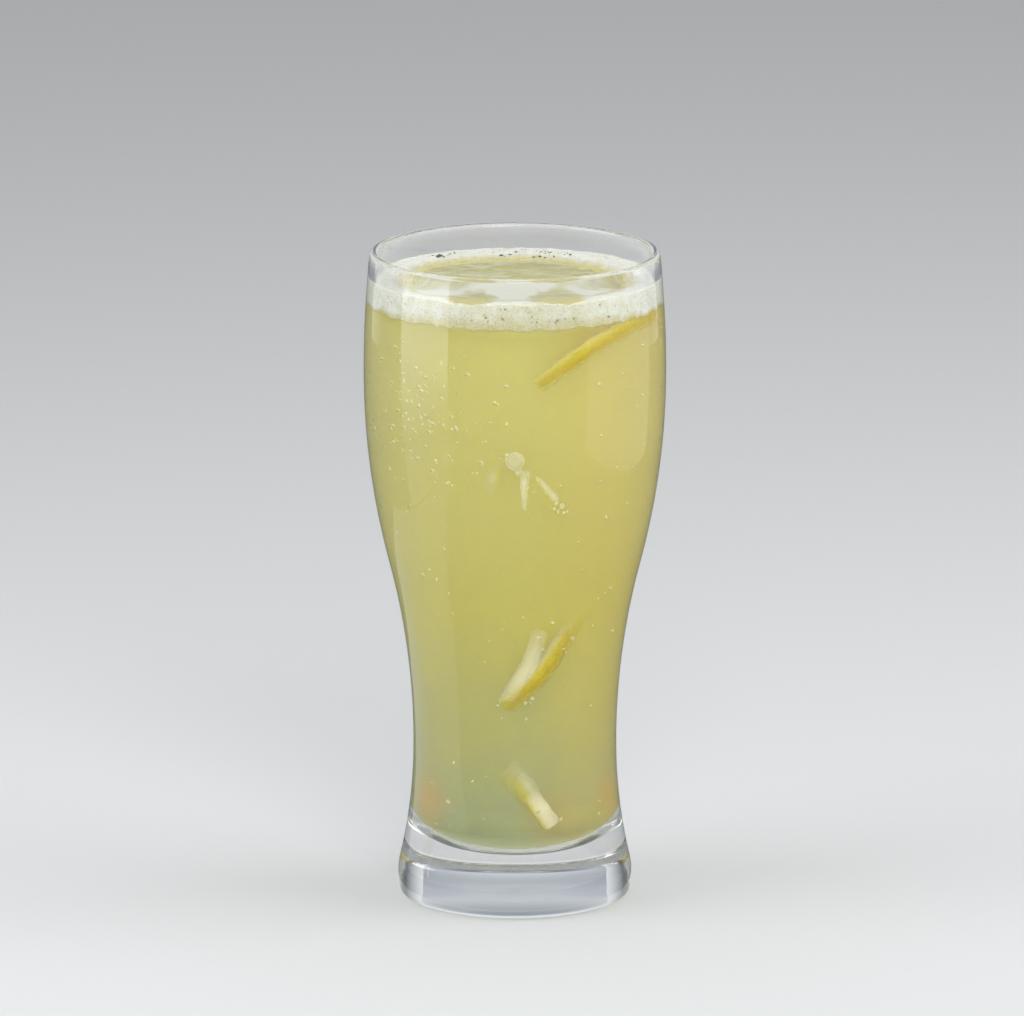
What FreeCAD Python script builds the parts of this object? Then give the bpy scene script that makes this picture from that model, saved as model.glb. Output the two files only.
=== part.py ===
"""A footed pilsner tumbler filled with lemon juice under a ring of froth.

Z is up, the origin is the centre of the ring that the foot stands on, and lengths are in
millimetres. The glass is turned about Z. The juice fills its hollow, and the froth is the
part of that hollow between the wall and an uneven pool of open juice.
"""

import FreeCAD, Part

import math
import os

import Sketcher
from FreeCAD import Vector

DRIVING_SIZES = {
    # outside of the glass
    "overall_height": 166.0,
    "rim_radius": 36.3,
    "bulge_swell": 1.7,  # how much wider the bulge's radius is than the rim's
    "bulge_below_rim": 31.0,
    "side_turn_height": 86.2,  # where the waist's curve turns into the bulge's
    "waist_radius": 25.7,
    "waist_height": 39.5,
    "foot_turn_height": 8.6,  # where the foot's curve turns into the waist's
    "foot_radius": 29.6,
    "foot_height": 6.0,  # where the foot is widest
    "foot_taper": 0.5,  # how much narrower the base's edge is than the foot
    "foot_corner": 1.8,
    "ring_width": 7.0,  # flat ring that the glass stands on
    "punt_depth": 1.2,  # shallow hollow inside that ring
    "lip_round": 1.0,
    # hollow of the glass
    "rim_wall": 2.2,
    "bulge_wall": 2.4,
    "waist_wall": 3.0,
    "hollow_turn_height": 88.5,  # where its lower curve turns into its upper one
    "hollow_lower_curve": 300.0,
    "hollow_corner": 13.0,
    "hollow_floor_curve": 110.0,
    "hollow_floor_height": 12.4,
    # what it holds
    "froth_below_rim": 6.5,
    "froth_depth": 6.5,
    "froth_width": 10.0,  # from the wall to the open juice, at the froth's top
    "froth_foot_width": 1.6,
    "pool_below_froth": 1.5,
}

# The lip's rounding takes no more than this share of the wall on each of its two sides.
LIP_SHARE = 0.48

# The pool's edge swings in and out by these shares of its mean radius, as one
# (waves in a turn, share, phase in degrees) for each wave.
POOL_WAVES = ((1, 0.05, 250.0), (2, 0.06, 20.0), (3, 0.045, 75.0), (5, 0.025, 10.0))
POOL_POINTS = 40

AXIS, GROUND = -2, -1  # a sketch's own upright and level axes
CENTRE = 3  # an arc's centre, as a vertex


class Size:
    """A length known both as a number and as the expression that reads it from the sheet."""

    def __init__(self, text, number):
        self.text = text
        self.number = number

    def __add__(self, other):
        return Size(f"{self.text} + {other.text}", self.number + other.number)

    def __sub__(self, other):
        return Size(f"{self.text} - ({other.text})", self.number - other.number)

    def at_most(self, share, other):
        """This size, or a share of another where that is less."""
        text = f"min({self.text}; {share} * ({other.text}))"
        return Size(text, min(self.number, share * other.number))


ZERO = Size("0", 0.0)


def write_sizes(doc):
    """Writes the driving sizes to a spreadsheet, and returns them and what follows from
    them, each as a Size."""
    sheet = doc.addObject("Spreadsheet::Sheet", "Sizes")
    sizes = {}
    for row, (name, number) in enumerate(DRIVING_SIZES.items(), start=1):
        sheet.set(f"A{row}", name.replace("_", " "))
        sheet.set(f"B{row}", str(number))
        sheet.setAlias(f"B{row}", name)
        sizes[name] = Size(f"Sizes.{name}", number)
    doc.recompute()
    sizes["bulge_radius"] = sizes["rim_radius"] + sizes["bulge_swell"]
    sizes["bulge_height"] = sizes["overall_height"] - sizes["bulge_below_rim"]
    sizes["base_radius"] = sizes["foot_radius"] - sizes["foot_taper"]
    sizes["rim_inside"] = sizes["rim_radius"] - sizes["rim_wall"]
    sizes["bulge_inside"] = sizes["bulge_radius"] - sizes["bulge_wall"]
    sizes["froth_top"] = sizes["overall_height"] - sizes["froth_below_rim"]
    sizes["froth_foot"] = sizes["froth_top"] - sizes["froth_depth"]
    sizes["pool_level"] = sizes["froth_top"] - sizes["pool_below_froth"]
    return sizes


class Pen:
    """Draws a closed outline of (radius, height) points in a sketch, tied to the sheet."""

    def __init__(self, body, name, radius, height):
        plane = next(o for o in body.Origin.OriginFeatures if o.Role == "XZ_Plane")
        self.sketch = body.newObject("Sketcher::SketchObject", name)
        self.sketch.AttachmentSupport = [(plane, "")]
        self.sketch.MapMode = "FlatFace"
        self.origin = (radius, height)
        self.at = Vector(radius.number, height.number, 0)
        self.corner = None  # (edge, vertex) that the pen has reached

    def tie(self, kind, *items):
        self.sketch.addConstraint(Sketcher.Constraint(kind, *items))

    def tie_to_size(self, kind, size, *items):
        index = self.sketch.addConstraint(Sketcher.Constraint(kind, *items, size.number))
        self.sketch.renameConstraint(index, f"{kind.lower()}_{index}")
        self.sketch.setExpression(f"Constraints.{kind.lower()}_{index}", size.text)

    def place(self, corner, radius, height):
        for kind, size, line in (("DistanceX", radius, AXIS), ("DistanceY", height, GROUND)):
            if size is ZERO:
                self.tie("PointOnObject", *corner, line)
            else:
                self.tie_to_size(kind, size, *corner)

    def add(self, geometry, start, finish, joint):
        """Adds an edge whose start and finish vertices are given, after the last edge."""
        edge = self.sketch.addGeometry(geometry)
        if self.corner is None:
            self.first = (edge, start)
            self.place(self.first, *self.origin)
        else:
            self.tie(joint, *self.corner, edge, start)
        self.corner = (edge, finish)
        return edge

    def line(self, radius, height):
        """Draws a straight edge to a corner."""
        finish = Vector(radius.number, height.number, 0)
        self.add(Part.LineSegment(self.at, finish), 1, 2, "Coincident")
        self.place(self.corner, radius, height)
        self.at = finish

    def close(self):
        """Draws the last straight edge, back to where the outline began."""
        start = Vector(self.origin[0].number, self.origin[1].number, 0)
        self.add(Part.LineSegment(self.at, start), 1, 2, "Coincident")
        self.tie("Coincident", *self.corner, *self.first)

    def arc(self, centre, finish, joint="Coincident"):
        """Draws the shorter arc about centre, and leaves its size and place to be tied."""
        rays = [self.at - centre, finish - centre]
        forward = rays[0].cross(rays[1]).z > 0
        low, high = rays if forward else reversed(rays)
        circle = Part.Circle(centre, Vector(0, 0, 1), low.Length)
        turn = [math.atan2(ray.y, ray.x) for ray in (low, high)]
        ends = (1, 2) if forward else (2, 1)
        edge = self.add(Part.ArcOfCircle(circle, *turn), *ends, joint)
        self.at = finish
        return edge

    def crown(self, radius, height):
        """Draws an arc from a point on the axis, level there, to a placed point."""
        start, finish = self.at, Vector(radius.number, height.number, 0)
        step = finish - start
        reach = (step.x**2 + step.y**2) / (2 * step.y)
        edge = self.arc(start + Vector(0, reach, 0), finish)
        self.tie("PointOnObject", edge, CENTRE, AXIS)
        self.place(self.corner, radius, height)

    def upright_arc(self, radius, height, upright_at_finish):
        """Draws an arc to a placed point that is upright at its start or its finish."""
        start, finish = self.at, Vector(radius.number, height.number, 0)
        upright, other = (finish, start) if upright_at_finish else (start, finish)
        step = other - upright
        reach = (step.x**2 + step.y**2) / (2 * step.x)
        beginning = self.corner
        edge = self.arc(Vector(upright.x + reach, upright.y, 0), finish)
        self.place(self.corner, radius, height)
        level = self.corner if upright_at_finish else beginning
        self.tie("Horizontal", edge, CENTRE, *level)

    def swing(self, radius, height, turn_height):
        """Draws two arcs that meet smoothly, upright where they start and finish."""
        start, finish = self.at, Vector(radius.number, height.number, 0)
        step = finish - start
        share = (turn_height.number - start.y) / step.y
        reach = (step.x**2 + step.y**2) / (2 * step.x)
        centres = (
            start + Vector(share * reach, 0, 0),
            finish - Vector((1 - share) * reach, 0, 0),
        )
        beginning = self.corner
        lower = self.arc(centres[0], start + step * share)
        self.tie("Horizontal", lower, CENTRE, *beginning)
        self.tie_to_size("DistanceY", turn_height, *self.corner)
        upper = self.arc(centres[1], finish, "Tangent")
        self.tie("Horizontal", upper, CENTRE, *self.corner)
        self.place(self.corner, radius, height)

    def dish(self, radius, height, floor_curve, corner_curve, wall_curve):
        """Draws a floor that rises from the axis, a corner, and a wall up to a placed
        point where it is upright. All three are arcs, and they meet smoothly."""
        floor, corner, wall = (c.number for c in (floor_curve, corner_curve, wall_curve))
        finish = Vector(radius.number, height.number, 0)
        floor_centre = self.at + Vector(0, floor, 0)
        wall_centre = finish + Vector(wall, 0, 0)
        # the corner's centre lies this far from the floor's and the wall's
        reach = (floor - corner, wall + corner)
        apart = wall_centre - floor_centre
        along = (reach[0] ** 2 - reach[1] ** 2 + apart.Length**2) / (2 * apart.Length)
        across = math.sqrt(reach[0] ** 2 - along**2)
        way = Vector(apart).normalize()
        corner_centre = floor_centre + way * along + Vector(way.y, -way.x, 0) * across
        off_floor = floor_centre + (corner_centre - floor_centre) * (floor / reach[0])
        onto_wall = wall_centre + (corner_centre - wall_centre) * (wall / reach[1])

        floor_edge = self.arc(floor_centre, off_floor)
        self.tie("PointOnObject", floor_edge, CENTRE, AXIS)
        corner_edge = self.arc(corner_centre, onto_wall, "Tangent")
        wall_edge = self.arc(wall_centre, finish, "Tangent")
        self.tie("Horizontal", wall_edge, CENTRE, *self.corner)
        self.place(self.corner, radius, height)
        for edge, curve in (
            (floor_edge, floor_curve),
            (corner_edge, corner_curve),
            (wall_edge, wall_curve),
        ):
            self.tie_to_size("Radius", curve, edge)


def draw_outside(body, s):
    """Outline of the glass as if it were solid, from the punt to the lip."""
    pen = Pen(body, "OutsideOutline", ZERO, s["punt_depth"])
    pen.crown(s["base_radius"] - s["ring_width"], ZERO)
    pen.line(s["base_radius"], ZERO)
    pen.upright_arc(s["foot_radius"], s["foot_height"], upright_at_finish=True)
    pen.swing(s["waist_radius"], s["waist_height"], s["foot_turn_height"])
    pen.swing(s["bulge_radius"], s["bulge_height"], s["side_turn_height"])
    pen.upright_arc(s["rim_radius"], s["overall_height"], upright_at_finish=False)
    pen.line(ZERO, s["overall_height"])
    pen.close()
    return pen.sketch


def draw_hollow(body, s):
    """Outline of the space inside the glass, from its floor to the lip."""
    pen = Pen(body, "HollowOutline", ZERO, s["hollow_floor_height"])
    pen.dish(
        s["waist_radius"] - s["waist_wall"],
        s["waist_height"],
        s["hollow_floor_curve"],
        s["hollow_corner"],
        s["hollow_lower_curve"],
    )
    pen.swing(s["bulge_inside"], s["bulge_height"], s["hollow_turn_height"])
    pen.upright_arc(s["rim_inside"], s["overall_height"], upright_at_finish=False)
    pen.line(ZERO, s["overall_height"])
    pen.close()
    return pen.sketch


def turn(body, kind, name, sketch):
    """Turns a sketch about its upright axis, to add or to take away."""
    feature = body.newObject(kind, name)
    feature.Profile = sketch
    feature.ReferenceAxis = (sketch, ["V_Axis"])
    feature.Angle = 360.0
    sketch.Visibility = False
    return feature


def circle_edges(shape, height, *radii):
    """Names of the round edges at a height, one for each radius."""
    names = []
    for number, edge in enumerate(shape.Edges, start=1):
        if edge.Degenerated or not isinstance(edge.Curve, Part.Circle):
            continue
        circle = edge.Curve
        fits = any(abs(circle.Radius - radius.number) < 1e-6 for radius in radii)
        if fits and abs(circle.Center.z - height.number) < 1e-6:
            names.append(f"Edge{number}")
    if len(names) != len(radii):
        raise RuntimeError(f"{len(names)} round edges found, not {len(radii)}")
    return names


def round_off(body, name, base, edges, size):
    """Rounds the named edges of a feature by a size from the sheet."""
    feature = body.newObject("PartDesign::Fillet", name)
    feature.Base = (base, edges)
    feature.Radius = size.number
    feature.setExpression("Radius", size.text)
    return feature


def make_glass(doc, s):
    """The tumbler: a turned blank, hollowed, with a rounded lip and foot."""
    body = doc.addObject("PartDesign::Body", "Glass")
    body.Label = "glass"
    blank = turn(body, "PartDesign::Revolution", "Blank", draw_outside(body, s))
    hollowed = turn(body, "PartDesign::Groove", "Hollow", draw_hollow(body, s))
    doc.recompute()
    if hollowed.Shape.Volume > 0.6 * blank.Shape.Volume:
        raise RuntimeError("the hollow was not cut")

    rim_edges = circle_edges(hollowed.Shape, s["overall_height"], s["rim_radius"], s["rim_inside"])
    lip_round = s["lip_round"].at_most(LIP_SHARE, s["rim_wall"])
    lip = round_off(body, "Lip", hollowed, rim_edges, lip_round)
    doc.recompute()
    base_edges = circle_edges(lip.Shape, ZERO, s["base_radius"])
    body.Tip = round_off(body, "FootCorner", lip, base_edges, s["foot_corner"])
    return body


def make_space(doc, s, name):
    """The space inside the glass as a solid, which its contents are cut from."""
    body = doc.addObject("PartDesign::Body", name)
    body.Tip = turn(body, "PartDesign::Revolution", f"{name}Turned", draw_hollow(body, s))
    return body


def make_slab(doc, name, s, low, high):
    """A disc wider than the glass between two heights."""
    slab = doc.addObject("Part::Cylinder", name)
    slab.setExpression("Radius", s["bulge_radius"].text)
    slab.setExpression("Height", (high - low).text)
    slab.setExpression("Placement.Base.z", low.text)
    return slab


def pool_outline(mean_radius, height):
    """The pool's wavy edge at one height, as a closed curve."""
    points = []
    for step in range(POOL_POINTS):
        angle = math.tau * step / POOL_POINTS
        swing = sum(
            share * math.cos(waves * angle + math.radians(phase))
            for waves, share, phase in POOL_WAVES
        )
        radius = mean_radius * (1 + swing)
        points.append(Vector(radius * math.cos(angle), radius * math.sin(angle), height))
    curve = Part.BSplineCurve()
    curve.interpolate(points, PeriodicFlag=True)
    return Part.Wire(curve.toShape())


def hollow_radius(s, height):
    """Radius of the hollow at a height between its bulge and its lip."""
    bulge = s["bulge_inside"].number
    narrowing = s["rim_inside"].number - bulge
    rise = s["bulge_below_rim"].number
    reach = (narrowing**2 + rise**2) / (2 * narrowing)
    above_bulge = height - s["bulge_height"].number
    return bulge + reach - math.copysign(math.sqrt(reach**2 - above_bulge**2), reach)


def make_pool(doc, s):
    """The open juice inside the froth, wider at the froth's foot than at its top."""
    foot, top = s["froth_foot"].number, s["froth_top"].number
    foot_radius = hollow_radius(s, foot) - s["froth_foot_width"].number
    top_radius = hollow_radius(s, top) - s["froth_width"].number
    foot_edge = Part.Wire(Part.makeCircle(foot_radius, Vector(0, 0, foot)))
    pool = doc.addObject("Part::Feature", "Pool")
    pool.Shape = Part.makeLoft([foot_edge, pool_outline(top_radius, top)], True)
    return pool


def combine(doc, kind, name, base, tool):
    """A boolean of two objects of the document."""
    result = doc.addObject(kind, name)
    result.Base = base
    result.Tool = tool
    return result


def make_froth(doc, s):
    """The froth: what lies between the wall and the pool, from its foot to its top."""
    slab = make_slab(doc, "FrothSlab", s, s["froth_foot"], s["froth_top"])
    disc = combine(doc, "Part::Common", "FrothDisc", make_space(doc, s, "FrothSpace"), slab)
    froth = combine(doc, "Part::Cut", "Froth", disc, make_pool(doc, s))
    froth.Label = "froth"
    return froth


def make_juice(doc, s, froth):
    """The juice: all of the hollow up to its level that the froth doesn't take."""
    slab = make_slab(doc, "JuiceSlab", s, ZERO, s["pool_level"])
    fill = combine(doc, "Part::Common", "JuiceFill", make_space(doc, s, "JuiceSpace"), slab)
    juice = combine(doc, "Part::Cut", "Juice", fill, froth)
    juice.Label = "lemon_juice"
    return juice


def check(doc, pieces):
    """Stops if any object failed, or if a piece is not one valid solid."""
    for item in doc.Objects:
        if "Invalid" in item.State or "Error" in item.State:
            raise RuntimeError(f"{item.Name} failed: {item.State}")
    for piece in pieces:
        shape = piece.Shape
        if shape.isNull() or not shape.isValid() or len(shape.Solids) != 1:
            raise RuntimeError(f"{piece.Label} is not one valid solid")


def main():
    doc = FreeCAD.newDocument("LemonJuiceGlass")
    sizes = write_sizes(doc)
    glass = make_glass(doc, sizes)
    froth = make_froth(doc, sizes)
    juice = make_juice(doc, sizes, froth)
    doc.recompute()
    pieces = (glass, juice, froth)
    check(doc, pieces)
    os.makedirs("parts", exist_ok=True)
    for piece in pieces:
        piece.Shape.exportStep(f"parts/{piece.Label}.step")
        print(f"{piece.Label}: {piece.Shape.Volume / 1000:.2f} ml")


main()
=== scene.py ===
import math

import bpy
import numpy as np
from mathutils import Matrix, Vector, noise


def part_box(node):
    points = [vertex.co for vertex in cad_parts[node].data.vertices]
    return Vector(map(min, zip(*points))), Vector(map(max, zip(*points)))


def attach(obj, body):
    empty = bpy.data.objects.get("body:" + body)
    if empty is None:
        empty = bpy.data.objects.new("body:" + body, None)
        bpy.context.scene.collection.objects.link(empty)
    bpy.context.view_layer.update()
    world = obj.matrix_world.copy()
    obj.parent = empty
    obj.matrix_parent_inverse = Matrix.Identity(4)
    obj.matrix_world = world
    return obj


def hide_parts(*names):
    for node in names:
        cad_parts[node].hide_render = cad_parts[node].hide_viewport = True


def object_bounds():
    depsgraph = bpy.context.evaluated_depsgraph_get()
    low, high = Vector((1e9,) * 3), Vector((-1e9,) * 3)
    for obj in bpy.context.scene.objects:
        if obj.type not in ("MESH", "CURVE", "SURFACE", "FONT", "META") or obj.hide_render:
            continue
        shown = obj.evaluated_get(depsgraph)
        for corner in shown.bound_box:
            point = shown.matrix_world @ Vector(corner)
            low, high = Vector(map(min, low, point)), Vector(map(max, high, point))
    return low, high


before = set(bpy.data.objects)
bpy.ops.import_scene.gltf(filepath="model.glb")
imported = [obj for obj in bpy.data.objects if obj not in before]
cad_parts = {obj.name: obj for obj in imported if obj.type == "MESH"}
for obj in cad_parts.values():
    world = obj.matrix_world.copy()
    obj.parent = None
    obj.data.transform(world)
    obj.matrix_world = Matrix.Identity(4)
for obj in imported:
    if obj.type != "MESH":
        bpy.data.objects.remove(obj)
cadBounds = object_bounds()
mm = 0.001
perSquareCm = 1e4
print("frame loaded")


def linearColor(hexColor):
    channels = [int(hexColor[i : i + 2], 16) / 255 for i in (1, 3, 5)]
    linear = [c / 12.92 if c <= 0.04045 else ((c + 0.055) / 1.055) ** 2.4 for c in channels]
    return (*linear, 1.0)


def addNode(tree, kind, inputs=None, **settings):
    # An input's value is a plain value, another node's output, or a node for its first output.
    node = tree.nodes.new(kind)
    for name, value in settings.items():
        setattr(node, name, value)
    for key, value in (inputs or {}).items():
        if isinstance(value, bpy.types.Node):
            value = value.outputs[0]
        if isinstance(value, bpy.types.NodeSocket):
            tree.links.new(value, node.inputs[key])
        else:
            node.inputs[key].default_value = value
    return node


def addRamp(tree, source, stops):
    # stops are (place from 0 to 1, hex colour)
    ramp = addNode(tree, "ShaderNodeValToRGB", {"Fac": source})
    elements = ramp.color_ramp.elements
    while len(elements) < len(stops):
        elements.new(0.5)
    for element, (place, hexColor) in zip(elements, stops):
        element.position = place
        element.color = linearColor(hexColor)
    return ramp.outputs["Color"]


def newMaterial(name):
    material = bpy.data.materials.new(name)
    material.use_nodes = True
    material.node_tree.nodes.clear()
    return material, material.node_tree


def newObject(name, mesh):
    piece = bpy.data.objects.new(name, mesh)
    bpy.context.scene.collection.objects.link(piece)
    return piece


def newPiece(name, vertices, faces, material):
    mesh = bpy.data.meshes.new(name)
    mesh.from_pydata([tuple(v) for v in vertices], [], [tuple(f) for f in faces])
    mesh.polygons.foreach_set("use_smooth", [True] * len(mesh.polygons))
    mesh.materials.append(material)
    mesh.update()
    return newObject(name, mesh)


def setInputs(modifier, values):
    # A Geometry Nodes input is set by its socket's identifier, found here by its name.
    sockets = {s.name: s.identifier for s in modifier.node_group.interface.items_tree}
    for name, value in values.items():
        modifier[sockets[name]] = value


def makePlain(piece):
    # Puts the nodes' result in the piece as a plain mesh and takes the modifier off.
    bpy.context.view_layer.update()
    evaluated = piece.evaluated_get(bpy.context.evaluated_depsgraph_get())
    mesh = bpy.data.meshes.new_from_object(evaluated)
    mesh.name = piece.name
    piece.modifiers.clear()
    piece.data = mesh
    return piece


def newNodeGroup(name, sockets):
    tree = bpy.data.node_groups.new(name, "GeometryNodeTree")
    tree.interface.new_socket("Geometry", in_out="OUTPUT", socket_type="NodeSocketGeometry")
    tree.interface.new_socket("Geometry", in_out="INPUT", socket_type="NodeSocketGeometry")
    for socketName, kind in sockets.items():
        tree.interface.new_socket(socketName, in_out="INPUT", socket_type="NodeSocket" + kind)
    return tree, addNode(tree, "NodeGroupInput").outputs


# Camera: a long lens a little above the rim, so the glass's mouth shows as a narrow oval.
cameraView = {
    "distance": 2.3,  # along the floor, from the glass's axis
    "height": 0.6415,
    "side": -0.00072,
    "downTilt": 13.254,
    "lens": 329.5,
}


def addCamera():
    data = bpy.data.cameras.new("camera")
    data.lens = cameraView["lens"]
    data.sensor_width = 36
    camera = newObject("camera", data)
    camera.location = (cameraView["side"], -cameraView["distance"], cameraView["height"])
    camera.rotation_euler = (math.radians(90 - cameraView["downTilt"]), 0, 0)
    bpy.context.scene.camera = camera


addCamera()
bpy.context.scene.view_settings.view_transform = "Standard"
# light in a thick foot goes back and forth many times before it gets out
cycles = bpy.context.scene.cycles
cycles.max_bounces = 18
cycles.transmission_bounces = 18
cycles.glossy_bounces = 18
cycles.volume_bounces = 4

# Studio: a tall softbox on the left, a window-like light on the right, a broad one overhead
# and a soft fill from the front. Only reflections and refractions see the cards.
studio = {
    "floorColor": "#dfe1e3",
    "floorEdge": 6.0,  # how far the floor goes from the glass
    "matt": {"Roughness": 0.9, "Specular IOR Level": 0.1},
    "worldColors": [
        # the sine of the height above the horizon, colour
        (0.0, "#e4e7ea"), (0.14, "#dadee2"), (0.3, "#aab0b7"), (0.55, "#6d757e"), (1.0, "#59616b"),
    ],
    "worldLight": 0.42,  # the world's light on the object; the camera and the glass see it at 1
    "aimHeight": 0.09,
    "lamps": {
        # place, size across, size up, watts
        "tallSoftbox": ((-0.62, -0.17, 0.30), 0.55, 0.95, 2.7),
        "rightWindow": ((0.75, -0.05, 0.62), 0.70, 0.60, 2.8),
        "overhead": ((0.0, 0.10, 1.25), 1.1, 1.1, 3.0),
        "frontFill": ((0.25, -1.35, 0.95), 0.9, 0.7, 9.8),
    },
    "flagColor": "#41484f",
    "flagFeet": [(0.50, 0.60), (0.93, 0.22)],  # its two feet on the right, mirrored on the left
    "flagTop": 0.7,
    "clothColor": "#5d6165",
    "clothInner": 0.033,
    "clothOuter": 1.6,
    "clothFacets": 48,
    "glowColor": "#eef2fb",
    "glowFrom": 0.036,  # below this height a panel glows at its first strength
    "glowTop": 0.12,  # and above this one at its second
    "glows": {
        # corners, and the two strengths
        "glowPanel": (
            [(-0.25, 0.0, 0.002), (-0.25, -0.215, 0.002), (-0.25, -0.215, 0.45), (-0.25, 0.0, 0.45)],
            (0.7, 2.3),
        ),
        "windowPanel": (
            [(0.25, -0.185, 0.022), (0.25, 0.13, 0.035), (0.25, 0.13, 0.45), (0.25, -0.185, 0.45)],
            (0.75, 0.75),
        ),
        "glowOnTable": (
            [
                (-0.075, -0.020, 0.002), (-0.115, -0.055, 0.002), (-0.245, -0.190, 0.002),
                (-0.245, 0.120, 0.002), (-0.095, 0.180, 0.002),
            ],
            (0.7, 0.7),
        ),
    },
}


def addLamp(name, place, across, up, watts):
    data = bpy.data.lights.new(name, "AREA")
    data.shape = "RECTANGLE"
    data.size = across
    data.size_y = up
    data.energy = watts
    lamp = newObject(name, data)
    lamp.location = place
    aim = Vector((0, 0, studio["aimHeight"])) - Vector(place)
    lamp.rotation_euler = aim.to_track_quat("-Z", "Y").to_euler()


def addCard(name, vertices, faces, finish, seenThroughGlass):
    card = newPiece(name, vertices, faces, finish)
    card.visible_camera = False
    card.visible_diffuse = False
    card.visible_shadow = False
    card.visible_volume_scatter = False
    card.visible_transmission = seenThroughGlass


def addCards():
    flagFinish = fadingFlag()
    for side, name in ((-1, "leftFlag"), (1, "rightFlag")):
        low, high = ([(side * x, y, z) for x, y in studio["flagFeet"]] for z in (0, studio["flagTop"]))
        addCard(name, low + high[::-1], [(0, 1, 2, 3)], flagFinish, True)

    # a grey cloth on the table round the glass, which only the glass's shine picks up
    facets = studio["clothFacets"]
    ring = [
        (radius * math.cos(math.tau * i / facets), radius * math.sin(math.tau * i / facets), 0.001)
        for radius in (studio["clothInner"], studio["clothOuter"])
        for i in range(facets)
    ]
    faces = [(i, facets + i, facets + (i + 1) % facets, (i + 1) % facets) for i in range(facets)]
    cloth = plainFinish("greyTableCloth", studio["clothColor"], studio["matt"])
    addCard("greyCloth", ring, faces, cloth, False)

    for name, (corners, strengths) in studio["glows"].items():
        addCard(name, corners, [tuple(range(len(corners)))], softGlow(name + "Cloth", strengths), False)


def fadingFlag():
    # a dark cloth that thins out towards the middle of the backdrop
    material, tree = newMaterial("fadingFlagCloth")
    place = addNode(tree, "ShaderNodeTexCoord").outputs["Object"]
    across = addNode(tree, "ShaderNodeSeparateXYZ", {0: place}).outputs["X"]
    away = addNode(tree, "ShaderNodeMath", {0: across}, operation="ABSOLUTE")
    (start, _), (end, _) = studio["flagFeet"]
    share = addNode(tree, "ShaderNodeMapRange", {"Value": away, "From Min": start, "From Max": end})
    color = addRamp(tree, share, [(0.0, studio["worldColors"][0][1]), (0.55, studio["flagColor"])])
    glow = addNode(tree, "ShaderNodeEmission", {"Color": color})
    addNode(tree, "ShaderNodeOutputMaterial", {"Surface": glow})
    return material


def softGlow(name, strengths):
    material, tree = newMaterial(name)
    place = addNode(tree, "ShaderNodeTexCoord").outputs["Object"]
    height = addNode(tree, "ShaderNodeSeparateXYZ", {0: place}).outputs["Z"]
    strength = addNode(
        tree,
        "ShaderNodeMapRange",
        {
            "Value": height,
            "From Min": studio["glowFrom"],
            "From Max": studio["glowTop"],
            "To Min": strengths[0],
            "To Max": strengths[1],
        },
        interpolation_type="SMOOTHSTEP",
    )
    bright = linearColor(studio["glowColor"])
    glow = addNode(tree, "ShaderNodeEmission", {"Color": bright, "Strength": strength})
    addNode(tree, "ShaderNodeOutputMaterial", {"Surface": glow})
    return material


def plainFinish(name, hexColor, looks):
    # one colour all over, with the shader's own settings in looks
    material, tree = newMaterial(name)
    body = addNode(tree, "ShaderNodeBsdfPrincipled", {"Base Color": linearColor(hexColor), **looks})
    addNode(tree, "ShaderNodeOutputMaterial", {"Surface": body})
    return material


def addWorld():
    world = bpy.data.worlds.new("studioAir")
    bpy.context.scene.world = world
    world.use_nodes = True
    tree = world.node_tree
    tree.nodes.clear()
    path = addNode(tree, "ShaderNodeLightPath").outputs
    seen = path["Is Camera Ray"]
    for other in ("Is Transmission Ray", "Is Glossy Ray"):
        seen = addNode(tree, "ShaderNodeMath", {0: seen, 1: path[other]}, operation="MAXIMUM")
    light = addNode(tree, "ShaderNodeBackground", {"Color": (1, 1, 1, 1), "Strength": studio["worldLight"]})
    direction = addNode(tree, "ShaderNodeTexCoord").outputs["Generated"]
    up = addNode(tree, "ShaderNodeSeparateXYZ", {0: direction}).outputs["Z"]
    sky = addRamp(tree, up, studio["worldColors"])
    pale = addNode(tree, "ShaderNodeBackground", {"Color": sky, "Strength": 1.0})
    mix = addNode(tree, "ShaderNodeMixShader", {0: seen, 1: light, 2: pale})
    addNode(tree, "ShaderNodeOutputWorld", {"Surface": mix})


def addStudio():
    addWorld()
    for name, (place, across, up, watts) in studio["lamps"].items():
        addLamp(name, place, across, up, watts)
    addCards()
    edge = studio["floorEdge"]
    corners = [(-edge, -edge, 0), (edge, -edge, 0), (edge, edge, 0), (-edge, edge, 0)]
    paper = plainFinish("studioPaper", studio["floorColor"], studio["matt"])
    newPiece("studioFloor", corners, [(0, 1, 2, 3)], paper)


addStudio()
print("camera and studio ready")

# The section of the glass, read from the frame: the glass is round, so each corner of its
# mesh gives one radius and one height.
sectionSet = {
    "step": 1.2 * mm,  # spacing of the finer points
    "joinGap": 0.1 * mm,
    "sharpTurn": 30,  # degrees; a sharper corner stays a corner
    "footCorner": 1.05 * mm,  # below this height the outline is followed outwards, above it upwards
    "underside": 20 * mm,  # within this radius there is only the floor and the hollow underneath
    "insideFoot": 6 * mm,  # a level between the two
    "facets": 144,  # round the glass
    "seam": 0.001 * mm,  # points nearer than this are one
}


def inOrder(points, direction):
    # the (radius, height) points as they come along a direction, without repeats
    points = np.unique(np.round(points, 7), axis=0)
    points = points[np.argsort(points @ direction, kind="stable")]
    kept = [points[0]]
    for point in points[1:]:
        if np.hypot(*(point - kept[-1])) > sectionSet["joinGap"]:
            kept.append(point)
    kept[-1] = points[-1]
    return np.array(kept)


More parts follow.
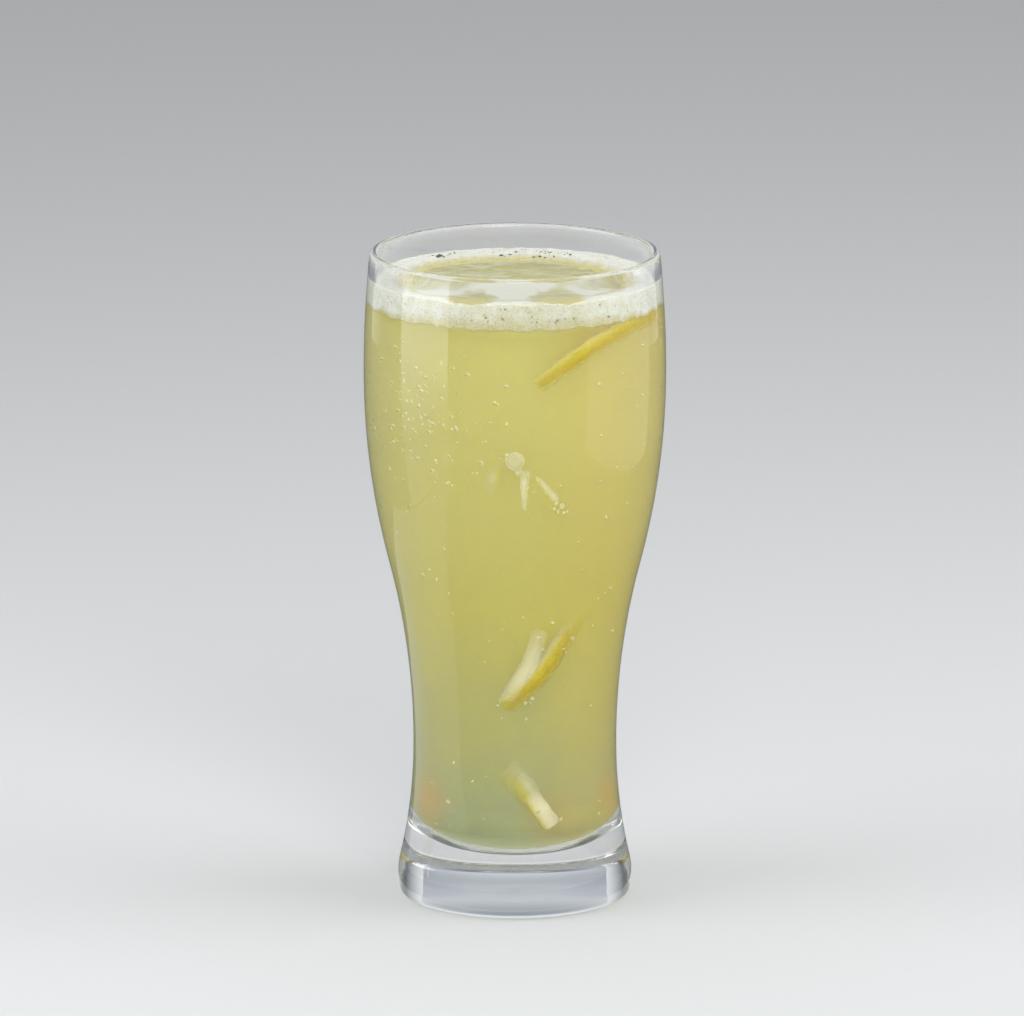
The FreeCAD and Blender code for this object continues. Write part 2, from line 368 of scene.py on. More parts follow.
def smoothRun(points):
    # a smooth curve through the points, in short steps
    runs = np.diff(points, axis=0)
    lengths = np.hypot(*runs.T)[:, None]
    slopes = runs / lengths
    tangents = np.vstack([slopes[:1], slopes, slopes[-1:]])
    tangents = tangents[:-1] + tangents[1:]
    tangents[1:-1] = (slopes[:-1] * lengths[1:] + slopes[1:] * lengths[:-1]) / (lengths[:-1] + lengths[1:])
    tangents[0] = slopes[0]
    tangents[-1] = slopes[-1]
    finer = []
    for i, length in enumerate(lengths[:, 0]):
        count = max(1, math.ceil(length / sectionSet["step"]))
        for t in np.arange(count) / count:
            start = (1 + 2 * t) * (1 - t) ** 2 * points[i] + t**2 * (3 - 2 * t) * points[i + 1]
            bend = t * (1 - t) * ((1 - t) * tangents[i] - t * tangents[i + 1])
            finer.append(start + bend * length)
    return np.array([*finer, points[-1]])


def smoothOutline(points):
    # splits an outline at its sharp corners and smooths each run between them
    directions = np.arctan2(*np.diff(points, axis=0).T)
    turns = np.degrees(np.abs((np.diff(directions) + math.pi) % math.tau - math.pi))
    corners = [0, *(np.nonzero(turns > sectionSet["sharpTurn"])[0] + 1), len(points) - 1]
    runs = [smoothRun(points[a : b + 1]) for a, b in zip(corners, corners[1:])]
    return np.vstack([run[:-1] for run in runs[:-1]] + [runs[-1]])


def readGlassSections():
    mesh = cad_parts["glass"].data
    mesh.calc_loop_triangles()
    points = np.array([v.co for v in mesh.vertices])
    triangles = np.array([t.vertices for t in mesh.loop_triangles])
    normals = np.array([t.normal for t in mesh.loop_triangles])
    centres = points[triangles].mean(axis=1)
    outward = (normals[:, :2] * centres[:, :2]).sum(axis=1)
    flat = np.stack([np.hypot(points[:, 0], points[:, 1]), points[:, 2]], axis=1)
    central = np.hypot(centres[:, 0], centres[:, 1]) < sectionSet["underside"]
    isFloor = centres[:, 2] > sectionSet["insideFoot"]
    facesIn = np.where(central, isFloor, (outward < 0) & (normals[:, 2] > -0.6))
    outside = flat[triangles[~facesIn]].reshape(-1, 2)
    hollow = flat[triangles[facesIn]].reshape(-1, 2)
    low = (outside[:, 1] < sectionSet["footCorner"]) | (outside[:, 0] < sectionSet["underside"])
    outside = np.vstack([inOrder(outside[low], (1, 0.01)), inOrder(outside[~low], (-0.01, 1))])
    outside = smoothOutline(outside)
    outside[:, 1] = np.maximum(outside[:, 1], cadBounds[0][2])
    return outside, smoothOutline(inOrder(hollow, (0.01, 1)))


outsideSection, hollowSection = readGlassSections()


def hollowRadius(height):
    return float(np.interp(height, hollowSection[:, 1], hollowSection[:, 0]))


def outsideRadius(height):
    wall = outsideSection[outsideSection[:, 1] > sectionSet["footCorner"]]
    return float(np.interp(height, wall[:, 1], wall[:, 0]))


print("glass section:", len(outsideSection), "points outside,", len(hollowSection), "inside")


def buildTurningTree():
    # Turns a section's points about the upright axis. The grid's columns go round and its
    # rows go along the section.
    tree, given = newNodeGroup(
        "turnedOnLathe",
        {"Facets": "Int", "Seam": "Float", "Finish": "Material", "Wetted finish": "Material"},
    )
    rows = addNode(
        tree, "GeometryNodeAttributeDomainSize", {"Geometry": given["Geometry"]}, component="MESH"
    ).outputs["Point Count"]
    columns = addNode(tree, "ShaderNodeMath", {0: given["Facets"], 1: 1}, operation="ADD")
    grid = addNode(
        tree, "GeometryNodeMeshGrid", {"Vertices X": columns, "Vertices Y": rows}
    ).outputs["Mesh"]
    index = addNode(tree, "GeometryNodeInputIndex")
    row = addNode(tree, "ShaderNodeMath", {0: index, 1: rows}, operation="MODULO")
    share = addNode(tree, "ShaderNodeMath", {0: index, 1: rows}, operation="DIVIDE")
    column = addNode(tree, "ShaderNodeMath", {0: share}, operation="FLOOR")
    turn = addNode(tree, "ShaderNodeMath", {0: column, 1: math.tau}, operation="MULTIPLY")
    angle = addNode(tree, "ShaderNodeMath", {0: turn, 1: given["Facets"]}, operation="DIVIDE")
    place = addNode(tree, "GeometryNodeInputPosition")
    point = addNode(
        tree, "GeometryNodeSampleIndex",
        {"Geometry": given["Geometry"], "Value": place, "Index": row}, data_type="FLOAT_VECTOR"
    )
    turned = addNode(
        tree, "ShaderNodeVectorRotate",
        {"Vector": point.outputs["Value"], "Angle": angle}, rotation_type="Z_AXIS"
    )
    placed = addNode(tree, "GeometryNodeSetPosition", {"Geometry": grid, "Position": turned})
    wet = addNode(tree, "GeometryNodeInputNamedAttribute", {"Name": "wetted"}, data_type="FLOAT")
    wet = addNode(
        tree, "GeometryNodeSampleIndex",
        {"Geometry": given["Geometry"], "Value": wet, "Index": row}, data_type="FLOAT"
    )
    kept = addNode(
        tree, "GeometryNodeStoreNamedAttribute",
        {"Geometry": placed, "Name": "wetted", "Value": wet.outputs["Value"]},
        data_type="FLOAT", domain="POINT"
    )
    welded = addNode(tree, "GeometryNodeMergeByDistance", {"Geometry": kept, "Distance": given["Seam"]})
    smooth = addNode(tree, "GeometryNodeSetShadeSmooth", {"Geometry": welded, "Shade Smooth": True})
    real = addNode(tree, "GeometryNodeRealizeInstances", {"Geometry": smooth})
    dry = addNode(tree, "GeometryNodeSetMaterial", {"Geometry": real, "Material": given["Finish"]})
    wetAgain = addNode(tree, "GeometryNodeInputNamedAttribute", {"Name": "wetted"}, data_type="FLOAT")
    isWet = addNode(
        tree, "FunctionNodeCompare",
        {"A": wetAgain, "B": 0.75}, data_type="FLOAT", operation="GREATER_THAN"
    )
    done = addNode(
        tree, "GeometryNodeSetMaterial",
        {"Geometry": dry, "Selection": isWet, "Material": given["Wetted finish"]}
    )
    addNode(tree, "NodeGroupOutput", {"Geometry": done})
    return tree


turningTree = buildTurningTree()


def turnSection(name, section, finish, wettedFinish=None, wetted=None):
    # section runs from the axis underneath, out, up and back to the axis; wetted marks its wet points
    mesh = bpy.data.meshes.new(name)
    mesh.from_pydata([(r, 0, z) for r, z in section], [], [])
    layer = mesh.attributes.new("wetted", "FLOAT", "POINT")
    layer.data.foreach_set("value", [0.0] * len(section) if wetted is None else wetted)
    piece = newObject(name, mesh)
    modifier = piece.modifiers.new("lathe", "NODES")
    modifier.node_group = turningTree
    finishes = {"Finish": finish, "Wetted finish": wettedFinish or finish}
    setInputs(modifier, {"Facets": sectionSet["facets"], "Seam": sectionSet["seam"], **finishes})
    return makePlain(piece)


# Levels in the glass, from the frame.
frothLow, frothHigh = (corner.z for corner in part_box("froth"))
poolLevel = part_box("lemon_juice")[1].z


def letLampsThrough(tree, surface):
    # Rays from lamps go straight through, so what is inside is lit.
    path = addNode(tree, "ShaderNodeLightPath").outputs["Is Shadow Ray"]
    through = addNode(tree, "ShaderNodeBsdfTransparent", {"Color": (0.98, 0.985, 0.98, 1)})
    return addNode(tree, "ShaderNodeMixShader", {0: path, 1: surface, 2: through})


def sodaLimeGlass():
    # pressed and fire-polished soda-lime glass: clear, smooth and colourless
    material, tree = newMaterial("sodaLimeGlass")
    glass = addNode(tree, "ShaderNodeBsdfGlass", {"Color": (1, 1, 1, 1), "Roughness": 0.0, "IOR": 1.52})
    surface = letLampsThrough(tree, glass)
    addNode(tree, "ShaderNodeOutputMaterial", {"Surface": surface})
    return material


def wettedSodaLimeGlass():
    # the wall where the juice wets it: light passes straight here, and bends at the juice instead
    material, tree = newMaterial("wettedSodaLimeGlass")
    clear = addNode(tree, "ShaderNodeBsdfTransparent", {"Color": (1, 1, 1, 1)})
    addNode(tree, "ShaderNodeOutputMaterial", {"Surface": clear})
    return material


def makeGlass():
    outline = np.vstack([outsideSection, hollowSection[::-1][1:]])
    inside = np.arange(len(outline)) >= len(outsideSection)
    wetted = inside & (outline[:, 1] < frothHigh - 0.2 * mm)
    finishes = (sodaLimeGlass(), wettedSodaLimeGlass())
    glass = turnSection("pintGlass", outline, *finishes, wetted.astype(float))
    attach(glass, "root")
    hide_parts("glass")


makeGlass()
print("glass made")

# The juice: a clear outer layer that wets the glass, round a cloudy middle.
juice = {
    "reach": 0.12 * mm,  # how far it reaches into the wall
    "ior": 1.34,  # at the surface, from air
    "iorFromGlass": 1.34 / 1.52,  # at the wall, from glass
    "middleShare": 0.79,  # the cloudy middle's radius, as a share of the glass's
    "middleFloor": 0.5 * mm,  # clear layer over the hollow's floor
    "middleRise": 14.0 * mm,  # height over which the clear layer gets its full depth
    "middleTop": 3.2 * mm,  # and under the surface
    "hazePath": 12.0 * mm,  # how far light goes in the clear layer before it meets pulp
    "hazeColor": "#f8f0b8",
    "shadedLowColor": "#a2a87b",
    "midColor": "#cbc260",
    "highColor": "#cec668",
    "lowLevel": 18 * mm,  # the level of the darkest colour, the painted shade at the bottom
    "cloudsPerMetre": 45,
    # painted light on the right side: its colour, how much, and the levels across where it comes in
    "paintedLightSideColor": "#d6b52a",
    "paintedLightSide": 0.45,  # how much the right side is that colour of painted light, in full from the second level below on
    "paintedLightFrom": 4 * mm,
    "paintedLightTo": 30 * mm,
    "paintedUnderGlow": 0.45,  # strength of the painted glow on the middle's underside, for the light that leaves by it
    "middleCorner": 2.2 * mm,  # rounding of the middle's top edge
    "tuck": 3.2 * mm,  # from the wall to the open surface, under the froth
    "tintColor": "#d69a45",
    "tints": [
        # peel lost in the cloud: turn from the front in degrees, height, how far it tints, how much
        (-70, 26 * mm, 11 * mm, 0.5),
        (80, 26 * mm, 9 * mm, 0.45),
        (27, 24 * mm, 12 * mm, 0.2),
    ],
}


def clearJuice():
    material, tree = newMaterial("clearLemonJuice")
    side = addNode(
        tree, "ShaderNodeBsdfGlass",
        {"Color": (1, 1, 1, 1), "Roughness": 0.0, "IOR": juice["iorFromGlass"]}
    )
    top = addNode(
        tree, "ShaderNodeBsdfGlass", {"Color": (1, 1, 1, 1), "Roughness": 0.0, "IOR": juice["ior"]}
    )
    normal = addNode(tree, "ShaderNodeNewGeometry").outputs["True Normal"]
    up = addNode(tree, "ShaderNodeSeparateXYZ", {0: normal}).outputs["Z"]
    facesUp = addNode(tree, "ShaderNodeMath", {0: up, 1: 0.8}, operation="GREATER_THAN")
    both = addNode(tree, "ShaderNodeMixShader", {0: facesUp, 1: side, 2: top})
    surface = letLampsThrough(tree, both)
    haze = addNode(
        tree, "ShaderNodeVolumeScatter",
        {"Color": linearColor(juice["hazeColor"]), "Density": 1 / juice["hazePath"], "Anisotropy": 0.3}
    )
    addNode(tree, "ShaderNodeOutputMaterial", {"Surface": surface, "Volume": haze})
    return material


def cloudyJuice():
    # pressed lemon juice full of fine pulp: soft and milky, light soaks into it
    material, tree = newMaterial("cloudyLemonJuice")
    place = addNode(tree, "ShaderNodeTexCoord").outputs["Object"]
    height = addNode(tree, "ShaderNodeSeparateXYZ", {0: place}).outputs["Z"]
    # darker and greyer towards the bottom: painted shade, where less light reaches the lower juice
    levels = {"Value": height, "From Min": juice["lowLevel"], "From Max": poolLevel}
    share = addNode(tree, "ShaderNodeMapRange", levels)
    clouds = addNode(
        tree, "ShaderNodeTexNoise", {"Vector": place, "Scale": juice["cloudsPerMetre"], "Detail": 3}
    )
    shift = addNode(
        tree, "ShaderNodeMapRange", {"Value": clouds.outputs["Fac"], "To Min": -0.12, "To Max": 0.12}
    )
    share = addNode(tree, "ShaderNodeMath", {0: share, 1: shift}, operation="ADD")
    stops = [(0.0, juice["shadedLowColor"]), (0.45, juice["midColor"]), (1.0, juice["highColor"])]
    color = addRamp(tree, share, stops)
    # painted light: the right side is tinted a warmer, stronger yellow, for how it is lit
    across = addNode(tree, "ShaderNodeSeparateXYZ", {0: place}).outputs["X"]
    paintedLightShare = addNode(
        tree,
        "ShaderNodeMapRange",
        {
            "Value": across,
            "From Min": juice["paintedLightFrom"],
            "From Max": juice["paintedLightTo"],
            "To Max": juice["paintedLightSide"],
        },
    )
    color = addNode(
        tree, "ShaderNodeMix",
        {"Factor": paintedLightShare, "A": color, "B": linearColor(juice["paintedLightSideColor"])}, data_type="RGBA"
    ).outputs["Result"]
    for turn, level, reach, share in juice["tints"]:
        angle = math.radians(turn)
        radius = hollowRadius(level) - 3 * mm
        centre = (radius * math.sin(angle), -radius * math.cos(angle), level)
        away = addNode(
            tree, "ShaderNodeVectorMath", {0: place, 1: centre}, operation="DISTANCE"
        ).outputs["Value"]
        tint = addNode(
            tree, "ShaderNodeMapRange",
            {"Value": away, "From Min": reach, "From Max": 0.0, "To Max": share},
            interpolation_type="SMOOTHSTEP"
        )
        color = addNode(
            tree, "ShaderNodeMix",
            {"Factor": tint, "A": color, "B": linearColor(juice["tintColor"])}, data_type="RGBA"
        ).outputs["Result"]
    # painted glow: emission on the middle's underside, standing in for the light that comes down through
    # the drink and leaves by its underside
    normal = addNode(tree, "ShaderNodeNewGeometry").outputs["True Normal"]
    up = addNode(tree, "ShaderNodeSeparateXYZ", {0: normal}).outputs["Z"]
    under = addNode(
        tree, "ShaderNodeMapRange",
        {"Value": up, "From Min": -0.35, "From Max": -0.9, "To Max": juice["paintedUnderGlow"]}
    )
    body = addNode(
        tree,
        "ShaderNodeBsdfPrincipled",
        {
            "Base Color": color,
            "Emission Color": color,
            "Emission Strength": under,
            "Roughness": 1.0,
            "Specular IOR Level": 0.0,
            "Subsurface Weight": 1.0,
            "Subsurface Radius": (1.0, 0.9, 0.45),
            "Subsurface Scale": 14 * mm,
        },
    )
    addNode(tree, "ShaderNodeOutputMaterial", {"Surface": body})
    return material


def makeJuice():
    below = hollowSection[hollowSection[:, 1] < frothLow + 0.3 * mm]
    slopes = np.gradient(below, axis=0)
    outwards = np.stack([slopes[:, 1], -slopes[:, 0]], axis=1) / np.hypot(*slopes.T)[:, None]
    skin = below + outwards * juice["reach"]
    skin[0, 0] = 0
    rim = hollowRadius(frothLow)
    # under the froth the juice's edge leaves the wall
    openRadius = rim - juice["tuck"]
    tucked = [(rim - 0.9 * mm, frothLow + 1.2 * mm), (rim - 2.5 * mm, poolLevel - 0.6 * mm)]
    surface = [(share * openRadius, poolLevel) for share in (1, *np.linspace(0.95, 0, 20))]
    outline = np.vstack([skin, tucked, surface])
    skinPiece = turnSection("clearJuice", outline, clearJuice())
    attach(skinPiece, "root")
    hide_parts("lemon_juice")

    # The cloudy middle keeps close to the hollow's floor, and higher up leaves the clear layer
    # its full depth.
    topLevel = poolLevel - juice["middleTop"]
    low = below[below[:, 1] < topLevel]
    rise = np.clip((low[:, 1] - low[0, 1]) / juice["middleRise"], 0, 1)
    full = np.array([hollowRadius(z) - outsideRadius(z) * juice["middleShare"] for z in low[:, 1]])
    slopes = np.gradient(low, axis=0)
    inwards = np.stack([-slopes[:, 1], slopes[:, 0]], axis=1) / np.hypot(*slopes.T)[:, None]
    depth = juice["middleFloor"] + (full - juice["middleFloor"]) * rise**1.5
    side = low + inwards * depth[:, None]
    side[0, 0] = 0
    rounding = juice["middleCorner"]
    side = side[side[:, 1] < topLevel - rounding]
    last = side[-1]
    corner = [
        last + (-rounding * (1 - math.cos(turn)), rounding * math.sin(turn))
        for turn in np.linspace(0, math.pi / 2, 8)[1:]
    ]
    middle = np.vstack([side, corner, [(share * corner[-1][0], topLevel) for share in (0.6, 0.3, 0)]])
    middlePiece = turnSection("cloudyJuice", middle, cloudyJuice())
    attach(middlePiece, "root")


makeJuice()
print("juice made")

# Froth: a wedge-shaped ring against the glass, its top dipping to the open juice.
froth = {
    "around": 720,
    "reach": 0.2 * mm,
    "wallRows": 22,
    "topRows": 34,
    "climb": 0.5 * mm,  # how far it climbs the wall
    "edgeDip": 1.25 * mm,
    "lump": 0.8 * mm,  # width of its smallest lumps
    "scallop": 0.8 * mm,  # how much its lower edge waves
    "deepColor": "#e1e3d9",
    "midColor": "#d2cfb0",
    "thinColor": "#c3bb7d",
    "thinSpots": [
        # across and back from the middle, half the width and half the depth
        (-10.5 * mm, -22.5 * mm, 6.2 * mm, 11.0 * mm),
        (10.5 * mm, -22.0 * mm, 7.5 * mm, 11.0 * mm),
    ],
    "thinDip": 0.9 * mm,
    "foamFrom": -5.0 * mm,  # in front of this the open juice is covered, but for the thin spots
    "greyerFront": 0.24,  # how far its face leans to the thin froth's greyer colour in front, at least
    "filmLift": 0.08 * mm,  # of the film from the juice, so the two don't lie in one plane
    "filmRings": 26,
    "filmAround": 144,
    "burstCrowd": 195.0,  # burst bubbles on top at the back, in each square centimetre
    "darkSparse": 5.0,  # and dark ones, painted shade, in its face on the glass
    "darkCrowd": 75.0,
}


def lemonFroth():
    # fine lemon froth: bubbles finer than a millimetre, cream-white where it is deep and
    # yellow where it thins out over the juice
    material, tree = newMaterial("lemonFroth")
    place = addNode(tree, "ShaderNodeTexCoord").outputs["Object"]
    cells = addNode(
        tree, "ShaderNodeTexVoronoi", {"Vector": place, "Scale": 1 / (0.75 * mm)}
    ).outputs["Distance"]
    fine = addNode(
        tree, "ShaderNodeTexVoronoi", {"Vector": place, "Scale": 1 / (0.4 * mm)}
    ).outputs["Distance"]
    domes = addNode(tree, "ShaderNodeMath", {0: cells, 1: fine}, operation="ADD")
    bump = addNode(
        tree, "ShaderNodeBump", {"Height": domes, "Strength": 0.6, "Distance": 0.2 * mm}, invert=True
    )
    patches = addNode(
        tree, "ShaderNodeTexNoise", {"Vector": place, "Scale": 1 / (2.2 * mm), "Detail": 5}
    ).outputs["Fac"]
    uneven = addNode(
        tree, "ShaderNodeMapRange",
        {"Value": patches, "From Min": 0.3, "From Max": 0.7, "To Min": -0.12, "To Max": 0.2}
    )
    thin = addNode(tree, "ShaderNodeAttribute", attribute_name="thin").outputs["Fac"]
    thinner = addNode(tree, "ShaderNodeMath", {0: thin, 1: uneven}, operation="ADD", use_clamp=True)
    stops = [(0.0, froth["deepColor"]), (0.45, froth["midColor"]), (1.0, froth["thinColor"])]
    color = addRamp(tree, thinner, stops)
    # each cell darker in its middle and lighter at its rim: painted shade and highlight on the bubble domes
    paintedCellShade = addNode(
        tree, "ShaderNodeMapRange",
        {"Value": domes, "From Min": 0.15, "From Max": 0.95, "To Min": 0.7, "To Max": 1.05}
    )
    celled = addNode(
        tree, "ShaderNodeMix",
        {"Factor": 1.0, "A": color, "B": paintedCellShade}, data_type="RGBA", blend_type="MULTIPLY"
    )
    body = addNode(
        tree,
        "ShaderNodeBsdfPrincipled",
        {
            "Base Color": celled.outputs["Result"],
            "Roughness": 0.5,
            "Specular IOR Level": 0.3,
            "Subsurface Weight": 0.6,
            "Subsurface Radius": (1.0, 0.95, 0.6),
            "Subsurface Scale": 1.5 * mm,
            "Normal": bump,
        },
    )
    addNode(tree, "ShaderNodeOutputMaterial", {"Surface": body})
    return material


def readFrothEdge():
    # the froth's inner edge in the frame, as its radius at each angle
    points = np.array([v.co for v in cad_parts["froth"].data.vertices])
    radii = np.hypot(points[:, 0], points[:, 1])
    angles = np.arctan2(points[:, 1], points[:, 0])
    edges = np.linspace(-math.pi, math.pi, 61)
    slots = np.digitize(angles, edges)
    inSlots = [i for i in np.unique(slots) if 0 < i < len(edges)]
    turns = [edges[i - 1 : i + 1].mean() for i in inSlots]
    inner = [radii[slots == i].min() for i in inSlots]
    return lambda angle: float(np.interp(angle, turns, inner, period=math.tau))


frothEdge = readFrothEdge()


def thinHere(spot):
    # 1 in the middle of a thin spot of the froth, 0 outside it
    thin = 0.0
    for across, back, halfWidth, halfDepth in froth["thinSpots"]:
        reach = math.hypot((spot.x - across) / halfWidth, (spot.y - back) / halfDepth)
        reach += 0.25 * noise.noise(spot / (3 * mm))
        thin = max(thin, min(1.0, max(0.0, (1.1 - reach) / 0.35)))
    return thin


def frothProfile(angle):
    # one upright slice of the ring: (radius, height, thinness) from its foot up the wall, over
    # the top and back underneath
    across = Vector((math.cos(angle), math.sin(angle), 0))
    scallop = froth["scallop"] * (noise.noise(across * 8) + 0.5 * noise.noise(across * 27))
    low = frothLow + scallop
    high = frothHigh - 0.1 * mm + froth["climb"] * (0.4 + 0.6 * noise.noise(across * 12))
    edge = frothEdge(angle) * (1 + 0.02 * noise.noise(across * 15))
    wall = hollowRadius(high)
    high -= froth["thinDip"] * thinHere(across * wall)
    # in front its face is coloured greyer and yellower, and its yellow foot band reaches higher
    front = max(0.0, -across.y) ** 3
    points = []
    for share in np.linspace(0, 1, froth["wallRows"]):
        height = low + share * (high - low)
        thin = max(0.0, 1 - (height - low) / ((1.1 + 4.4 * front) * mm)) * (0.9 - 0.15 * front)
        thin = max(thin, froth["greyerFront"] * front)
        points.append((hollowRadius(height) + froth["reach"], height, thin))
    for share in np.linspace(0, 1, froth["topRows"] + 1)[1:]:
        radius = wall + share * (edge - wall)
        sink = min(1.0, share * 8) * (high - frothHigh) + froth["edgeDip"] * share**1.4
        spot = across * radius
        lumps = 0.1 * mm * noise.noise(spot / froth["lump"]) + 0.22 * mm * noise.noise(spot / (4 * mm))
        spotThin = thinHere(spot)
        dip = froth["thinDip"] * spotThin * (1 - share) - lumps * min(1, share * 6)
        thin = max(spotThin, 0.95 * max(0.0, share - 0.45) / 0.55)
        points.append((radius, max(high - sink - dip, poolLevel + 0.1 * mm), thin))
    points.append((edge - 0.15 * mm, poolLevel - 0.1 * mm, 1.0))
    points.append((edge + 0.4 * mm, poolLevel - 1.0 * mm, 1.0))
    points.append((hollowRadius(low) - 3.5 * mm, low + 2.6 * mm, 1.0))
    points.append((hollowRadius(low) - 1.5 * mm, low + 0.2 * mm, 1.0))
    return across, points


def makeFrothRing():
    vertices, thinness, faces = [], [], []
    for step in range(froth["around"]):
        across, points = frothProfile(math.tau * step / froth["around"])
        vertices += [(r * across.x, r * across.y, z) for r, z, thin in points]
        thinness += [thin for r, z, thin in points]
    rows = len(points)
    for step in range(froth["around"]):
        here, beyond = step * rows, (step + 1) % froth["around"] * rows
        for row in range(rows):
            above = (row + 1) % rows
            faces.append((here + row, beyond + row, beyond + above, here + above))
    ring = newPiece("frothRing", vertices, faces, lemonFroth())
    ring.visible_shadow = False  # froth lets light through to the juice
    ring.data.attributes.new("thin", "FLOAT", "POINT").data.foreach_set("value", thinness)
    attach(ring, "root")
    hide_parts("froth")


def thinFrothFilm():
    # a torn film of the finest froth, floating on the open juice, thicker towards the front
    material, tree = newMaterial("thinFrothFilm")
    place = addNode(tree, "ShaderNodeTexCoord").outputs["Object"]
    stretched = addNode(tree, "ShaderNodeVectorMath", {0: place, 1: (0.55, 1.2, 1.0)}, operation="MULTIPLY")
    torn = addNode(
        tree, "ShaderNodeTexNoise",
        {"Vector": stretched, "Scale": 1 / (5 * mm), "Detail": 5, "Distortion": 0.5}
    ).outputs["Fac"]
    patchy = addNode(
        tree, "ShaderNodeMapRange",
        {"Value": torn, "From Min": 0.42, "From Max": 0.66, "To Min": 0.4, "To Max": 0.85}
    )
    foam = addNode(tree, "ShaderNodeAttribute", attribute_name="foam").outputs["Fac"]
    cover = addNode(tree, "ShaderNodeMath", {0: patchy, 1: foam}, operation="MAXIMUM")
    color = addRamp(tree, torn, [(0.4, "#b9b88e"), (0.66, "#c9c9af")])
    color = addNode(
        tree, "ShaderNodeMix",
        {"Factor": foam, "A": color, "B": linearColor(froth["deepColor"])}, data_type="RGBA"
    ).outputs["Result"]
    film = addNode(
        tree, "ShaderNodeBsdfPrincipled", {"Base Color": color, "Roughness": 0.45, "Alpha": cover}
    )
    addNode(tree, "ShaderNodeOutputMaterial", {"Surface": film})
    return material


def makeFrothFilm():
    rings, around = froth["filmRings"], froth["filmAround"]
    level = poolLevel + froth["filmLift"]
    vertices = [(0, 0, level)]
    foam = [0.0]
    for ring in range(1, rings + 1):
        for step in range(around):
            angle = math.tau * step / around
            radius = (frothEdge(angle) + 0.6 * mm) * ring / rings
            spot = Vector((radius * math.cos(angle), radius * math.sin(angle), 0))
            height = level + 0.05 * mm * noise.noise(spot / (3 * mm))
            vertices.append((spot.x, spot.y, height))
            ahead = froth["foamFrom"] - spot.y + 3 * mm * noise.noise(spot / (6 * mm))
            foam.append(min(0.92, max(0.0, ahead / (5 * mm))) * (1 - thinHere(spot)))
    faces = [(0, 1 + step, 1 + (step + 1) % around) for step in range(around)]
    for ring in range(rings - 1):
        inner, outer = 1 + ring * around, 1 + (ring + 1) * around
        for step in range(around):
            after = (step + 1) % around
            faces.append((inner + step, outer + step, outer + after, inner + after))
    film = newPiece("frothFilm", vertices, faces, thinFrothFilm())
    film.visible_shadow = False
    film.data.attributes.new("foam", "FLOAT", "POINT").data.foreach_set("value", foam)
    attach(film, "root")


makeFrothRing()
makeFrothFilm()
print("froth made")

# Strips of lemon peel, sunk in the clear layer. One end lies by the glass and the other goes
# back into the cloud, where its colour fades into the juice's.
peel = {
    "aroundSection": 20,
    "step": 0.35 * mm,
    "endRounding": 1.3 * mm,
    # route: turn from the front in degrees, height and depth behind the wall in millimetres;
    # rindSide: which edge is rind; rindShare: how much of the width; fade: how much the first
    # and the last end fade; softness: how much the edges do; veil: how much juice hides it all
    "strips": {
        "upperPeel": {
            "route": [
                (9.4, 138.6, 3.6), (15.6, 141.2, 3.2), (24.6, 144.6, 2.8), (37.3, 148.3, 2.6),
                (51.7, 150.8, 2.2), (65.2, 151.9, 1.6), (76.0, 152.4, 1.3),
            ],
            "widths": (4.6, 5.0), "thickness": 1.7, "rindSide": -1, "rindShare": 0.92,
            "fade": (0.55, 0.35), "softness": 1.0, "veil": 0.0,
        },
        "middlePeel": {
            "route": [
                (-6.8, 54.2, 1.2), (1.3, 57.4, 1.2), (11.5, 61.2, 1.3), (20.5, 65.8, 1.6),
                (27.5, 70.4, 2.0), (36.0, 75.3, 2.8), (47.0, 79.4, 3.8),
            ],
            "widths": (5.8, 5.2), "thickness": 1.5, "rindSide": -1, "rindShare": 0.78,
            "fade": (0.5, 1.0), "softness": 1.0, "veil": 0.22,
        },
        "middlePith": {
            "route": [
                (-7.0, 55.4, 0.9), (-0.4, 59.5, 0.8), (7.6, 64.8, 0.8), (11.6, 69.9, 1.0),
                (13.6, 75.0, 1.2),
            ],
            "widths": (4.6, 4.8), "thickness": 1.1, "rindSide": 1, "rindShare": 0.0,
            "fade": (0.9, 0.8), "softness": 1.0, "veil": 0.42,
        },
        "lowerPeel": {
            "route": [(24.6, 22.0, 1.0), (15.9, 27.3, 1.2), (9.5, 31.0, 1.7)],
            "widths": (4.8, 4.2), "thickness": 1.4, "rindSide": 1, "rindShare": 0.12,
            "fade": (0.1, 0.8), "softness": 0.5, "veil": 0.18,
        },
        "lowerRind": {
            "route": [(17.0, 25.6, 2.2), (8.4, 31.0, 2.2), (0.1, 35.0, 2.6), (-8.0, 38.4, 3.4)],
            "widths": (5.0, 9.0), "thickness": 1.6, "rindSide": 1, "rindShare": 0.55,
            "fade": (0.7, 1.0), "softness": 1.0, "veil": 0.5,
        },
        "pulpWedge": {
            "route": [(4.9, 117.9, 2.3), (3.9, 113.4, 2.3), (4.0, 109.7, 2.3), (4.4, 107.2, 2.4)],
            "widths": (3.1, 1.1), "thickness": 1.1, "rindSide": 1, "rindShare": 0.05,
            "fade": (0.9, 0.3), "softness": 1.0, "veil": 0.5,
        },
        "pulpSliver": {
            "route": [(8.6, 116.2, 3.3), (10.9, 114.2, 3.0), (14.6, 111.6, 2.8), (18.6, 109.0, 2.4)],
            "widths": (1.4, 3.2), "thickness": 0.9, "rindSide": -1, "rindShare": 0.3,
            "fade": (1.0, 0.2), "softness": 1.0, "veil": 0.6,
        },
        "sunkenPith": {
            "route": [(-8.0, 119.0, 5.0), (-9.5, 114.0, 4.7), (-10.6, 110.0, 4.9)],
            "widths": (4.5, 5.5), "thickness": 1.6, "rindSide": 1, "rindShare": 0.45,
            "fade": (1.0, 0.9), "softness": 1.0, "veil": 0.7,
        },
    },
}


